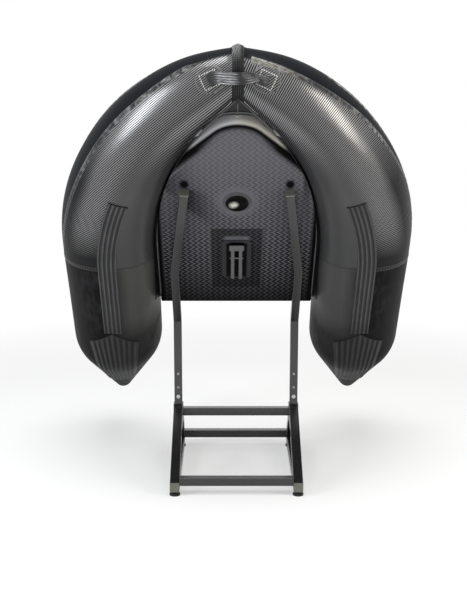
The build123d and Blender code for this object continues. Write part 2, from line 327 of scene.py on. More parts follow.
def carbon_cloth(name, side):
    """Woven print under a clear coat: fine ribs that turn to short dashes before the tail seam."""
    cloth = Finish(name)
    plan = cloth.mark("plan")
    x, y, z = cloth.split(plan)
    run, angle, band = cloth.split(cloth.mark("cloth"))
    drift = (cloth.noise(plan, 2.0, 1.0) - 0.5) * weave_drift
    rise = y - z * weave_dip
    if side > 0:
        turn = cloth.node(
            "Math", {"operation": "ARCTAN2"}, {0: rise - fan_middle[1], 1: x - fan_middle[0]}
        )
        across = turn * fan_reach + drift
    else:
        across = rise * cos(weave_turn) - x * sin(weave_turn) + drift
    ribs = across.wave(weave_pitch) * 0.5 + 0.5
    rows, columns = rise * cos(brick_turn), x * sin(brick_turn)
    bricks = (rows - columns).wave(brick_pitch) * 0.34
    bricks = bricks + (rows + columns).wave(brick_pitch) * brick_share[side] + 0.5
    ahead = y - (z + tube_depth) * tan(seam_slant) - seam_y
    stern = ahead.fall(0.22, 0.14)
    weave = (ribs * (1.0 - stern) + bricks * stern).step(0.56, 0.40)

    # Where the weave doesn't show: inboard behind the bow it is painted out to plain grey where it
    # catches no highlight, as painted shade; at the bow's inner edge and at the seam it has no
    # print
    unlit_weave = angle.step(radians(88), 0.40) * run.fall(0.98, 0.30)
    bow_strip = angle.step(radians(147), 0.05)
    seam_end = ahead.fall(0.120, 0.14)
    weave_shown = (1.0 - unlit_weave) * (1.0 - bow_strip) * (1.0 - seam_end * 0.97)
    thread = weave * band.step(0.002, 0.010) * weave_shown
    side_band = band.fall(0.0, 0.012)

    # Painted sheen: the threads are coloured brighter where highlights fall, dull low outboard
    # and inboard, with a painted streak of reflection near the bow; the coat follows the same mask
    painted_sheen = (angle.step(radians(44), 0.30) + run.step(0.90, 0.20)).clamped()
    painted_streak = (angle - radians(106)).size().fall(0.26, 0.22) * run.step(1.02, 0.24)
    painted_sheen = painted_sheen * (1.0 - angle.step(radians(80), 0.45) * 0.62) + painted_streak * 0.95
    # Painted shade: threads darker towards the side band over the stern half
    edge = band.fall(0.030, 0.050) * run.fall(0.86, 0.20)
    bright = thread * (0.30 + painted_sheen * 0.70) * (1.0 - edge * 0.85)
    shade = cloth.blend(bright, cloth_black, cloth_grey)
    shade = cloth.blend(unlit_weave, shade, cloth_plain)
    shade = cloth.blend(side_band, shade, cloth_side)
    coat = thread * (0.05 + painted_sheen * 0.95) * (1.0 - edge * 0.6) + unlit_weave * 0.22 + bow_strip * 0.2
    cloudy = cloth.noise(plan, 7.0, 3.0)
    soft = cloth.noise(plan, 260.0, 2.0)
    hem = run.wave(hem_pitch) * side_band * run.step(1.12, 0.08) * hem_share[side]
    return cloth.finish(
        base_color=shade,
        roughness=0.44 - thread * 0.10 + (cloudy - 0.5) * 0.10 + side_band * 0.06,
        specular_ior_level=0.04, coat_ior=2.6, coat_roughness=0.30,
        coat_weight=coat * (1.0 - side_band) + 0.02,
        normal=cloth.bump(thread * 0.7 + soft * 0.12 + hem * 0.8, 0.0007, 0.7),
    )


angles = np.arange(tube_sides) * (2 * pi / tube_sides) - pi / 3
wrapped = np.append(angles, angles[0] + 2 * pi)
seam_runs = run_where(
    lambda p: p[..., 1] - seam_y - (p[..., 2] + tube_depth) * tan(seam_slant), 0.0, 0.8, angles
)
bow_runs = run_where(lambda p: 0.0005 - p[..., 0], 0.9, 1.6, angles)


def cloth_marks(side, runs):
    """Run, angle and the way from the side tapes, for each corner of a tube's grid."""
    runs = np.concatenate([runs, runs[:, :1]], axis=1)
    outer = tape_angle(side, runs)
    band = (np.abs((wrapped - pi / 2 + pi) % (2 * pi) - pi) - (pi / 2 - outer)) * tube_radius(runs)
    return stack(runs, wrapped, -band)


for hand, side in hands.items():
    name = "tube_" + hand
    runs = seam_runs + (bow_runs - seam_runs) * np.linspace(0, 1, tube_rows)[:, None]
    finish = carbon_cloth("carbon_cloth_" + name, side)
    make_skin(name + "_skin", side, on_tube(runs, angles), finish, [name],
              {"cloth": cloth_marks(side, runs)}, ring=True)

# Tails. Behind a slanted seam each tube goes on in plain matt cloth and closes in a rounded cone
# with a blunt nose. A narrow lap strip covers the seam, sewn with a dashed line along both edges.
cone_start = 0.010
cone_shoulder_radius = 0.210
cone_angle = radians(22.8)
cone_nose_radius = 0.034
seam_half, seam_thickness, seam_stitch = 0.0085, 0.0007, 0.0105
tail_black = (0.0032, 0.0032, 0.0038)

turns = np.linspace(0, cone_angle, 14)
tail_radius = tube_radii[0]
shoulder_end = (
    cone_start + cone_shoulder_radius * sin(cone_angle),
    tail_radius - cone_shoulder_radius * (1 - cos(cone_angle)),
)
slope_run = (shoulder_end[1] - cone_nose_radius * cos(cone_angle)) / sin(cone_angle)
nose_start = (shoulder_end[0] + slope_run * cos(cone_angle), cone_nose_radius * cos(cone_angle))
nose_middle = nose_start[0] - cone_nose_radius * sin(cone_angle)
nose_turns = np.linspace(cone_angle, pi / 2 - 0.02, 14)
cone_back = np.concatenate([
    [0.0], cone_start + cone_shoulder_radius * np.sin(turns),
    np.linspace(shoulder_end[0], nose_start[0], 24)[1:-1],
    nose_middle + cone_nose_radius * np.sin(nose_turns),
])
cone_reach = np.concatenate([
    [tail_radius], tail_radius - cone_shoulder_radius * (1 - np.cos(turns)),
    np.linspace(shoulder_end[1], nose_start[1], 24)[1:-1],
    cone_nose_radius * np.cos(nose_turns),
])


def plain_cloth():
    """Matt cloth with scuffs, with a painted reflection that greys it inboard, and darker towards
    the nose.
    """
    cloth = Finish("plain_cloth")
    plan = cloth.mark("plan")
    drawn_out = cloth.node("Mapping", None, {"Vector": plan, "Scale": (9.0, 2.5, 9.0)})
    scuffs = cloth.noise(drawn_out, 6.0, 6.0, 0.65)
    worn = scuffs.step(0.55, 0.25)
    grain = cloth.noise(plan, 420.0, 2.0)
    # Painted reflection: the inboard side is coloured greyer
    inboard_reflection = cloth.split(cloth.mark("cloth"))[1].step(radians(100), 0.5)
    nose = cloth.split(plan)[1].fall(0.02, 0.12)
    shade = cloth.blend(worn * 0.8, (0.0026, 0.0026, 0.0031), (0.019, 0.019, 0.020))
    shade = cloth.blend(inboard_reflection, shade, (0.046, 0.046, 0.045))
    return cloth.finish(
        base_color=cloth.blend(nose * 0.60, shade, tail_black),
        roughness=0.44 + worn * 0.12 + (grain - 0.5) * 0.1, specular_ior_level=0.03,
        coat_weight=inboard_reflection * 0.4 * (1.0 - nose), coat_roughness=0.35,
        normal=cloth.bump(grain + scuffs * 1.5, 0.0004, 0.4),
    )


def seam_cloth():
    seam = Finish("seam_cloth")
    way, angle, offset = seam.split(seam.mark("cloth"))
    lines = (offset.size() - 0.78).size().fall(0.13, 0.10)
    stitch = way.wave(seam_stitch).step(-0.1, 0.4) * lines
    # Painted reflection: the strip is greyer inboard, as on the tails
    inboard_reflection = angle.step(radians(100), 0.5)
    shade = seam.blend(inboard_reflection, (0.0045, 0.0045, 0.0052), (0.038, 0.038, 0.038))
    return seam.finish(
        base_color=seam.blend(stitch, shade, (0.060, 0.060, 0.058)), roughness=0.42,
        specular_ior_level=0.16, normal=seam.bump(stitch, 0.0008, 0.8),
    )


tail_finish = plain_cloth()
cone_rows = np.broadcast_to(-cone_back[::-1][:, None], (len(cone_back), tube_sides))
tube_part = seam_runs * np.linspace(0, 1, 44)[1:, None]
cone_proud = cone_reach[::-1][:, None] - tail_radius
grid = np.concatenate([on_tube(cone_rows, angles, cone_proud), on_tube(tube_part, angles)])
runs = np.concatenate([cone_rows, tube_part])
for hand, side in hands.items():
    name = "tail_" + hand
    make_skin(name + "_skin", side, grid, tail_finish, [name],
              {"cloth": cloth_marks(side, runs)}, ring=True)

seam_finish = seam_cloth()
across = np.linspace(-1, 1, 7)[:, None]
grid = on_tube(seam_runs + across * seam_half, angles, 0.0002 + seam_thickness * (1 - across**4))
for hand, side in hands.items():
    make_skin(f"tail_{hand}_seam", side, grid, seam_finish, (),
              {"cloth": stack(wrapped * tail_radius, wrapped, across)}, ring=True)

# Edge tapes. A glossy strip is welded over each panel edge along the side band, on the underside
# and on the deck side, and puckers a little where the cloth was stretched round the bend.
tape_width, tape_thickness = 0.018, 0.0012
tape_first, deck_tape_last, tape_last = 0.47, 1.16, {1: 1.365, -1: 1.31}
tape_fade, tape_tip = 0.05, 0.25
bow_flare, bow_flare_run = 0.35, 1.24
pucker_height, pucker_fine, pucker_slow = 0.0006, 310, 47
glue = 0.0003


def tape_grid(side, deck):
    """Points and marks of one tape on the right tube, tapered at its ends."""
    last = deck_tape_last if deck else tape_last[side]
    runs = np.linspace(tape_first, last, 220)
    wide = 1.0 + bow_flare * np.clip((runs - bow_flare_run) / 0.06, 0, 1) * (side > 0)
    taper = np.clip((last - runs) / tape_fade, 0.9 if side > 0 and not deck else tape_tip, 1)
    taper = taper * np.clip((runs - tape_first) / tape_fade, tape_tip, 1)
    middle = tape_angle(side, runs) * (-1 if deck else 1)
    half_turn = tape_width / 2 * taper * wide / tube_radius(runs)
    across, runs = np.linspace(-1, 1, 9), runs[:, None]
    pucker = pucker_height * np.sin(runs * pucker_fine + across * 1.7)
    pucker = pucker * np.sin(runs * pucker_slow + 2.0)
    proud = glue + tape_thickness * (1 - across**4) + pucker * (1 - across**2)
    turns = middle[:, None] + across * half_turn[:, None]
    return on_tube(runs, turns, proud), stack(runs, turns, across)


def glossy_tape():
    """Creased gloss with painted glints on the crease peaks towards the bow; the right tube's tape
    is pale and streaky towards the bow.
    """
    tape = Finish("glossy_tape")
    plan = tape.mark("plan")
    way, turn, across = tape.split(tape.mark("cloth"))
    x, y, z = tape.split(plan)
    across = across.size()
    crease = tape.noise(plan, 75.0, 4.0, 0.65)
    # Painted highlight: crease peaks coloured pale in patches towards the bow
    patchy = tape.noise(plan, 9.0, 2.0).step(0.5, 0.4) * way.step(0.86, 0.30)
    bright = (crease.step(0.54, 0.25) * patchy + across.step(0.75, 0.2) * 0.12).clamped()
    streaks = tape.noise(tape.join(way * 10.0, across * 5.0, z * 40.0), 1.0, 4.0)
    pale = way.step(1.270, 0.10) * x.step(0.0, 0.01)
    pale = pale * streaks.step(0.50, 0.22) * across.fall(0.72, 0.3)
    shade = tape.blend(bright, (0.012, 0.012, 0.014), (0.30, 0.30, 0.295))
    return tape.finish(
        base_color=tape.blend(pale, shade, (0.30, 0.285, 0.24)),
        roughness=0.30 + crease * 0.14, specular_ior_level=0.15, coat_weight=0.05,
        coat_roughness=0.12, normal=tape.bump(crease, 0.0022, 0.8),
    )


tape_finish = glossy_tape()
for hand, side in hands.items():
    for label, deck in (("under", False), ("deck", True)):
        grid, marks = tape_grid(side, deck)
        make_skin(f"tube_{hand}_{label}_tape", side, grid, tape_finish, (),
                  {"cloth": marks})

# Bow band. A strip of woven check cloth laps over the seam where the two tubes meet, all the way
# round, and shows its check only over the top of the bow.
band_half = 0.017
band_stops = np.array([1.0, 0.9, 0.6, 0.25, 0.06]) * band_half
band_proud = np.array([0.0004, 0.0021, 0.0023, 0.0023, 0.0023])
band_turns = np.linspace(0, 2 * pi, 129)[:-1]
check_pitches, rib_line_pitch = (0.0105, 0.0075), 0.0062

half = []
for stop, proud in zip(band_stops, band_proud):
    runs = run_where(lambda p: stop - p[..., 0], 0.8, 1.7, band_turns, proud)
    half.append(on_tube(runs, band_turns, proud))
grid = np.stack(half + [rows * np.array([-1, 1, 1]) for rows in half[::-1]])
check = Finish("check_cloth")
x, y, z = check.split(check.mark("plan"))
checks = (x + z).wave(check_pitches[0]) * (x * 1.1 - z).wave(check_pitches[1])
top = (0.0 - z).step(0.052, 0.04) * x.fall(0.006, 0.006)
thread = checks.step(0.15, 0.4) * top
thread = thread + x.wave(rib_line_pitch).step(0.3, 1.2) * (1.0 - top) * 0.10
check_finish = check.finish(
    base_color=check.blend(thread, (0.005, 0.005, 0.006), (0.26, 0.26, 0.26)), roughness=0.48,
    specular_ior_level=0.10, normal=check.bump(thread, 0.0006, 0.6),
)
make_skin("bow_band_cloth", 1, grid, check_finish, ["bow_band"], ring=True)

# Web. A flat panel of smooth cloth closes the notch between the tubes ahead of the floor, hemmed
# with piping along both tubes and sewn down its middle.
web_depth, web_thickness, web_dip, web_gap = 0.030, 0.004, 0.004, 0.0006
web_rows, web_columns = 40, 41
floor_bow_y, floor_bow_radius = 0.912, 0.108
piping_radius, web_seam_radius, web_hem_radius = 0.0022, 0.0016, 0.0026


def wall_x(y, z, gap=0.0):
    """How far inboard the right tube's skin reaches at a y and z."""
    runs = np.linspace(0.0, 1.7, 1200)
    ax, ay, heading = tube_axis(runs)
    chord = np.sqrt(np.maximum((tube_radius(runs) + gap) ** 2 - (z + tube_depth) ** 2, 0))
    return np.interp(y, ay + chord * np.cos(heading), ax - chord * np.sin(heading))


def web_grid():
    """Rows from the crotch of the tubes down to the floor's rounded bow."""
    share = np.linspace(0, 1, web_rows)[:, None]
    u = np.linspace(-1, 1, web_columns)
    crotch = np.linspace(0.90, 1.10, 400)
    top = crotch[np.argmax(wall_x(crotch, -web_depth, web_gap) < 0.002)]
    low = floor_bow_y - 0.040
    y = top + (low - top) * share + 0 * u
    half = np.maximum(wall_x(y, -web_depth, web_gap), 0.0015)
    arc, arc_end = [
        np.sqrt(floor_bow_radius**2 - np.minimum(np.abs(x), 0.1) ** 2) for x in (half * u, half)
    ]
    dip = web_dip * np.sin(np.abs(u) * pi) * share
    y = y + share * np.maximum(arc - arc_end, 0)
    return stack(half * u, y, web_thickness / 2 - web_depth - dip)


def sheet_size(grid):
    """Flat width, length and area of a grid of points on a stretched sheet."""
    across = np.linalg.norm(np.diff(grid, axis=1), axis=-1).sum(axis=1)
    along = np.linalg.norm(np.diff(grid[:, grid.shape[1] // 2], axis=0), axis=-1).sum()
    one, two = grid[1:, :-1] - grid[:-1, 1:], grid[1:, 1:] - grid[:-1, :-1]
    area = np.linalg.norm(np.cross(one, two), axis=-1).sum() / 2
    return (float(across.max()), float(along)), float(area)


def unit(vectors):
    return vectors / np.maximum(np.linalg.norm(vectors, axis=1, keepdims=True), 1e-6)


def add_bead(name, line, radius, finish):
    """Round bead along a line of boat points, narrowed at its ends."""
    line = np.asarray(line, float)
    along = unit(np.gradient(line, axis=0))
    up = unit(np.cross(along, np.array([0.0, 0.0, 1.0])))
    turn = np.linspace(0, 2 * pi, 11)[:-1][:, None]
    ring = up[:, None] * np.cos(turn) + np.cross(along, up)[:, None] * np.sin(turn)
    ends = np.ones(len(line))
    ends[0] = ends[-1] = 0.35
    grid = line[:, None] + ring * radius * ends[:, None, None]
    make_skin(name, 1, grid, finish, ring=True, caps=True)


def smooth_fabric():
    """Smooth coated cloth of the web and the skirts, with painted shade that makes the skirts
    nearly black low down in the channel.
    """
    smooth = Finish("smooth_cloth")
    plan = smooth.mark("plan")
    cloudy = smooth.noise(plan, 14.0, 4.0)
    grain = smooth.noise(plan, 500.0, 2.0)
    # Painted shade: the skirts below the web are coloured near black
    low = smooth.split(plan)[1].fall(0.84, 0.05)
    shade = smooth.blend(cloudy.step(0.5, 0.3), (0.006, 0.006, 0.007), (0.030, 0.030, 0.032))
    return smooth.finish(
        base_color=smooth.blend(low * 0.8, shade, (0.0022, 0.0022, 0.0026)),
        roughness=0.34 + cloudy * 0.15, specular_ior_level=0.18,
        normal=smooth.bump(grain + cloudy * 2.0, 0.0005, 0.4),
    )


smooth_cloth = smooth_fabric()
web_points = web_grid()
web = make_skin("bow_web", 1, web_points, smooth_cloth, ["bow_gusset"])
thicken = web.modifiers.new("cloth", "SOLIDIFY")
thicken.thickness, thicken.offset = 0.003, 0.0
web_flat, web_area = sheet_size(web_points)

piping = Finish("piping")
worn = piping.noise(piping.mark("plan"), 80.0, 3.0)
piping_finish = piping.finish(
    base_color=piping.blend(worn, (0.05, 0.05, 0.052), (0.12, 0.12, 0.12)),
    roughness=0.26 + worn * 0.14, specular_ior_level=0.5, normal=piping.bump(worn, 0.0006, 0.5),
)
for hand, side in hands.items():
    line = web_points[2:, -1 if side > 0 else 0] + np.array([-0.002 * side, 0, 0.004])
    add_bead("web_piping_" + hand, line, piping_radius, piping_finish)
line = web_points[6:, web_columns // 2] + np.array([0, 0, 0.0022])
add_bead("web_seam", line, web_seam_radius, piping_finish)
line = web_points[-1, 4:-4] + np.array([0, 0.003, 0.003])
add_bead("web_hem", line, web_hem_radius, piping_finish)

# Floor. A drop-stitch air panel: two flat skins held parallel by threads, with a half-round side
# wall and a gabled bow. Its underside is embossed with a herringbone tread that gets deeper towards
# the stern, and the fin box sits on a sewn square.
floor_thickness = 0.085
floor_stern_y = 0.080
floor_half_width = 0.262
floor_shoulder_radius = 0.120
floor_corner_radius = 0.006
floor_rim, stern_rim = 0.036, 0.010
floor_gap = 0.009
gable_y = floor_bow_y + floor_bow_radius * (sqrt(2) - 1)
tread_pitch, tread_row, tread_slant = 0.0190, 0.0105, 1.55
valve_y, fin_y = 0.591, 0.316
square_half_width, square_half_length, square_stitch = 0.086, 0.150, 0.0095
halo_y, dent_reach = 0.418, 0.023


def arc_points(middle, radius, first, last, count):
    """Points round an arc in the plan, without the first; the angles turn from the y axis."""
    turn = np.linspace(first, last, count)[1:]
    return [(middle[0] + radius * sin(t), middle[1] + radius * cos(t)) for t in turn]


def floor_outline():
    """Right half of the floor's plan from the stern's middle to the bow's middle."""
    shoulder_y = gable_y - floor_half_width - floor_shoulder_radius * tan(pi / 8)
    corner = (floor_half_width - floor_corner_radius, floor_stern_y + floor_corner_radius)
    points = [(x, floor_stern_y) for x in np.linspace(0, corner[0], 30)]
    points += arc_points(corner, floor_corner_radius, pi, pi / 2, 6)
    points += [(floor_half_width, y) for y in np.linspace(corner[1], shoulder_y, 60)[1:]]
    shoulder = (floor_half_width - floor_shoulder_radius, shoulder_y)
    points += arc_points(shoulder, floor_shoulder_radius, pi / 2, pi / 4, 16)
    bow = (0.0, floor_bow_y - floor_bow_radius)
    last, gable = np.array(points[-1]), np.array(bow) + floor_bow_radius * sqrt(0.5)
    points += [tuple(last + (gable - last) * s) for s in np.linspace(0, 1, 24)[1:]]
    return np.array(points + arc_points(bow, floor_bow_radius, pi / 4, 0, 20))


half = floor_outline()
outline = np.concatenate([half, half[-2:0:-1] * np.array([-1, 1])])
along = unit(np.roll(outline, -1, axis=0) - np.roll(outline, 1, axis=0))
inward = np.stack([-along[:, 1], along[:, 0]], axis=1)
stern = np.clip(1 - (outline[:, 1] - floor_stern_y) / 0.03, 0, 1)
rim = floor_rim - (floor_rim - stern_rim) * stern
levels = [(1 - sin(t), 1 - cos(t)) for t in np.linspace(0, pi / 2, 12)]
rings = []
for inset, drop in levels:
    rings.append((inset, -drop * rim))
for inset, drop in levels[::-1]:
    rings.append((inset, drop * rim - floor_thickness))
grid = []
for inset, z in rings:
    line = outline + inward * (inset * rim)[:, None]
    flat_z = z[half.shape[0] // 2]
    limit = np.maximum(wall_x(line[:, 1], flat_z, floor_gap), 0.01)
    grid.append(stack(np.sign(line[:, 0]) * np.minimum(np.abs(line[:, 0]), limit), line[:, 1], z))
grid = np.stack(grid)[:, ::-1]

arm_tips = []
for hand in hands:
    low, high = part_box("arm_cap_" + hand)
    middle = (low + high) / 2
    fall, climb = bend_y - middle.y, middle.z - bend_height
    arm_tips.append((middle.x, fall * sin(lean) + climb * cos(lean) + dent_reach))


def tread_cloth():
    """Grey tread with dark grooves and a dark sewn square; painted shade darkens the stern, the
    rounded rims and dents ahead of the arm tips, and a painted highlight lights the bow wall.
    """
    tread = Finish("tread_cloth")
    plan = tread.mark("plan")
    x, y, z = tread.split(plan)
    out = x.size()
    flat = z.step(-0.006, 0.006)
    sweep = tread.node("Math", {"operation": "PINGPONG"}, {0: y + 10.0, 1: tread_row})
    wave = (x + sweep * tread_slant).wave(tread_pitch) * 0.5 + 0.5
    valley = (sweep / tread_row - 0.5).size().step(0.44, 0.10)
    # Towards the stern the relief gets deeper and the colours darker; the darkening is painted
    # shade
    stern_depth_and_shade = y.fall(0.56, 0.50)
    ridge = (wave + stern_depth_and_shade * 0.20).step(0.62, 0.50) * (1.0 - valley * 0.6)
    pressed = ridge * flat * tread.gap(plan, (0, valve_y, 0)).step(0.062, 0.03)
    light = tread.blend(stern_depth_and_shade, (0.118, 0.116, 0.130), (0.094, 0.092, 0.102))
    dark = tread.blend(stern_depth_and_shade, (0.084, 0.083, 0.092), (0.0016, 0.0016, 0.0018))
    shade = tread.blend(pressed, light, dark)
    # Painted shade: near black along the stern
    shade = tread.blend(y.fall(0.19, 0.22) * 0.95, shade, (0.0015, 0.0015, 0.0018))

    # The sewn square round the fin box, and the light that its moulding catches
    along = (y - fin_y).size()
    square = out.fall(square_half_width, 0.004) * along.fall(square_half_length, 0.004)
    shade = tread.blend(square * 0.66, shade, (0.0030, 0.0030, 0.0034))
    stitch = (out - square_half_width + 0.002).size().fall(0.0022, 0.001)
    stitch = stitch * along.fall(square_half_length - 0.003, 0.004)
    stitch = stitch * (y - x).wave(square_stitch).step(0.0, 0.4)
    shade = tread.blend(stitch * flat * 0.7, shade, (0.075, 0.075, 0.078))
    # Painted shade: the rounded rims off the flat underside are near black
    shade = tread.blend(1.0 - flat, shade, (0.006, 0.006, 0.007))
    halo = out.fall(0.040, 0.014) * (y - halo_y).size().fall(0.010, 0.012)
    shade = tread.blend(halo * flat, shade, (0.098, 0.098, 0.108))

    # Painted shade in dents ahead of the arm tips and on the rolled edge, and a painted highlight
    # on the pale bow wall
    squashed = tread.join(x, y * 0.75, 0.0)
    for tip_x, tip_y in arm_tips:
        painted_dent_shade = tread.gap(squashed, (tip_x, tip_y * 0.75, 0)).fall(0.0135, 0.009)
        shade = tread.blend(painted_dent_shade * flat * 0.98, shade, (0.0010, 0.0010, 0.0012))
    painted_rim_shade = ((gable_y - out - y) * sqrt(0.5)).fall(0.026, 0.014) * out.step(0.095, 0.05)
    painted_rim_shade = (painted_rim_shade + (floor_half_width - out).fall(0.018, 0.016) * 0.8).clamped()
    shade = tread.blend(painted_rim_shade, shade, (0.0024, 0.0024, 0.0028))
    # Painted highlight: the bow wall is coloured nearly white, warmer on the right, where it
    # catches the light
    bow_wall_highlight = y.step(0.800, 0.03) * z.fall(-0.016, 0.006) * z.step(-0.085, 0.02)
    pale = tread.blend(x.step(0.01, 0.06), (0.86, 0.86, 0.88), (0.93, 0.90, 0.80))
    grain = tread.noise(plan, 600.0, 2.0)
    return tread.finish(
        base_color=tread.blend(bow_wall_highlight, shade, pale),
        roughness=0.46 + pressed * 0.2 + (grain - 0.5) * 0.1, specular_ior_level=0.04,
        coat_weight=bow_wall_highlight, coat_roughness=0.14,
        normal=tread.bump(grain * 0.15 - pressed * (0.2 + stern_depth_and_shade), 0.0016, 0.7),
    )


make_skin("floor_panel", 1, grid, tread_cloth(), ["floor"], ring=True, caps=True)

# Side skirts. A hemmed strip of smooth cloth bridges the channel between each tube and the floor,
# from the stern to the web.
skirt_first, skirt_last, skirt_rows = 0.084, 0.850, 120
skirt_low, skirt_high, skirt_thickness = -0.024, -0.006, 0.0016
skirt_hem_radius = 0.0024

for hand, side in hands.items():
    name = "floor_welt_" + hand
    y = np.linspace(skirt_first, skirt_last, skirt_rows)
    inner = np.minimum(wall_x(y, skirt_low, floor_gap), floor_half_width - 0.0025) + 0.0020
    outer = wall_x(y, skirt_high, 0.0004)
    share = np.linspace(0, 1, 12)
    x = inner[:, None] + (outer - inner)[:, None] * share
    grid = stack(x, y[:, None], skirt_low + (skirt_high - skirt_low) * share**1.6)[::-1]
    skirt = make_skin(name + "_cloth", side, grid, smooth_cloth, [name])
    thicken = skirt.modifiers.new("cloth", "SOLIDIFY")
    thicken.thickness, thicken.offset = skirt_thickness, 0.0
    flat, area = sheet_size(grid)
    line = stack(inner * side, y, skirt_low + 0.0015)
    add_bead(name + "_hem", line, skirt_hem_radius, piping_finish)

# Keel strips. Moulded rubber with five lengthwise ribs, glued along the lowest line of each tube,
# where it drags over the bank.
strip_base, rib_height = 0.0030, 0.0030
strip_width, strip_rib_width, strip_ribs = 0.062, 0.006, 5
strip_first, strip_turn = 0.020, radians(19)
strip_start = (strip_first - tail_end[1]) / (quarter[1] - tail_end[1]) * straight_run
strip_end = straight_run + shoulder_radius * strip_turn
rib_pitch = (strip_width - strip_rib_width) / (strip_ribs - 1)


def ribbed_rubber():
    """Black rubber with rubbed crests, duller towards the tail."""
    rubber = Finish("ribbed_rubber")
    plan = rubber.mark("plan")
    grain = rubber.noise(plan, 300.0, 3.0)
    wear = rubber.noise(plan, 22.0, 4.0)
    crest = rubber.split(rubber.mark("cloth"))[2].step(0.0034, 0.0014)
    crest = crest * (0.45 + rubber.split(plan)[1].step(0.04, 0.12) * 0.55) * (0.5 + 0.5 * wear)
    return rubber.finish(
        base_color=rubber.blend(crest, (0.0045, 0.0045, 0.0050), (0.080, 0.080, 0.082)),
        roughness=0.36 + wear * 0.2, specular_ior_level=0.10,
        normal=rubber.bump(grain, 0.0004, 0.5),
    )


rubber_finish = ribbed_rubber()
across, height = [-strip_width / 2, -strip_width / 2 + 0.0006], [0.0002, strip_base]
for k in range(strip_ribs):
    middle = (k - (strip_ribs - 1) / 2) * rib_pitch
    for offset, lift in ((-1, 0), (-0.82, 0.85), (-0.5, 1), (0, 1), (0.5, 1), (0.82, 0.85), (1, 0)):
        across.append(middle + offset * strip_rib_width / 2 * 0.98)
        height.append(strip_base + lift * rib_height)
across += [strip_width / 2 - 0.0006, strip_width / 2]
height += [strip_base, 0.0002]
order = np.argsort(across, kind="stable")
across, height = np.array(across)[order], np.array(height)[order] + glue
middle_runs = np.linspace(strip_start + 0.0008, strip_end - 0.0008, 90)
runs = np.concatenate([[strip_start], middle_runs, [strip_end]])[:, None]
lift = np.ones_like(runs)
lift[0] = lift[-1] = 0.05
x, y, heading = tube_axis(runs)
z = np.sqrt((tube_radius(runs) + height * lift) ** 2 - across**2) - tube_depth
grid = stack(x + across * np.sin(heading), y - across * np.cos(heading), z)[:, ::-1]
marks = stack(runs, across, height * lift)[:, ::-1]
for hand, side in hands.items():
    name = "keel_strip_" + hand
    make_skin(name + "_rubber", side, grid, rubber_finish, [name],
              {"cloth": marks})

# Tail guards. Ribbed rubber pads with a peaked front edge take the wear where the cones meet the
# ground.
guard_thickness = 0.003
guard_front_y, guard_peak, guard_back_y = -0.060, 0.075, -0.385
guard_half_front, guard_half_back = 0.088, 0.052
guard_rib_width, guard_ribs = 0.009, 9

u, lift = [-1.0, -0.992], [-1.0, 0.0]
for k in range(guard_ribs):
    middle = (k - (guard_ribs - 1) / 2) / guard_ribs * 2
    half_rib = guard_rib_width / 2 / guard_half_front
    for offset, rise in ((-1, 0), (-0.7, 0.9), (0, 1), (0.7, 0.9), (1, 0)):
        u.append(middle * 0.95 + offset * half_rib)
        lift.append(rise)
u, lift = np.array(u + [0.992, 1.0]), np.array(lift + [0.0, -1.0])
share = np.concatenate([[0.0], np.linspace(0.004, 0.996, 60), [1.0]])[:, None]
front = guard_front_y + guard_peak * (1 - np.abs(u))
y = front + (guard_back_y - front) * share
spread = np.clip((guard_front_y - y) / (guard_front_y - guard_back_y), 0, 1)
off_x = (guard_half_front + (guard_half_back - guard_half_front) * spread) * u
off_y = y - tail_end[1]
ahead = off_y * sin(straight_heading) + off_x * cos(straight_heading)
off = off_x * sin(straight_heading) - off_y * cos(straight_heading)
cone = np.interp(-ahead, cone_back, cone_reach)
reach = np.where(ahead > 0, tube_radius(np.maximum(ahead, 0)), cone)
body = np.ones_like(share)
body[0] = body[-1] = 0
fade = np.clip((share - 0.01) / 0.02, 0, 1) * np.clip((0.99 - share) / 0.02, 0, 1)
rise = guard_thickness * body + np.maximum(lift, 0) * rib_height * fade
rise = glue + np.where(lift < 0, 0, rise)
z = np.sqrt((reach + rise) ** 2 - off**2) - tube_depth
for hand, side in hands.items():
    name = "tail_guard_" + hand
    make_skin(name + "_rubber", side, stack(tail_end[0] + off_x, y, z), rubber_finish,
              [name], {"cloth": stack(tail_end[0] + off_x, y, rise)})

# Bow handle. Two round cloth patches carry a ribbed webbing strap that arches over the bow seam and
# is turned over once at its right end.
patch_radius, patch_thickness, patch_rim = 0.039, 0.003, 0.0035
patch_rib_pitch, patch_square, patch_stitch = 0.0072, 0.021, 0.0072
strap_width, strap_thickness, strap_lift = 0.034, 0.003, 0.030
strap_rib_pitch, strap_rib_height = 0.0068, 0.0005


def patch_place(name):
    """Run and angle of a patch's middle, from the middle of its solid."""
    low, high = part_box(name)
    middle = (low + high) / 2
    runs, turns = np.meshgrid(
        np.linspace(1.0, 1.40, 201), np.radians(np.linspace(20, 130, 221)), indexing="ij"
    )
    skin = seat(on_tube(runs, turns, patch_thickness / 2))
    gap = np.linalg.norm(skin - np.array([abs(middle.x), middle.y, middle.z]), axis=-1)
    k = np.unravel_index(np.argmin(gap), gap.shape)
    return runs[k], turns[k]


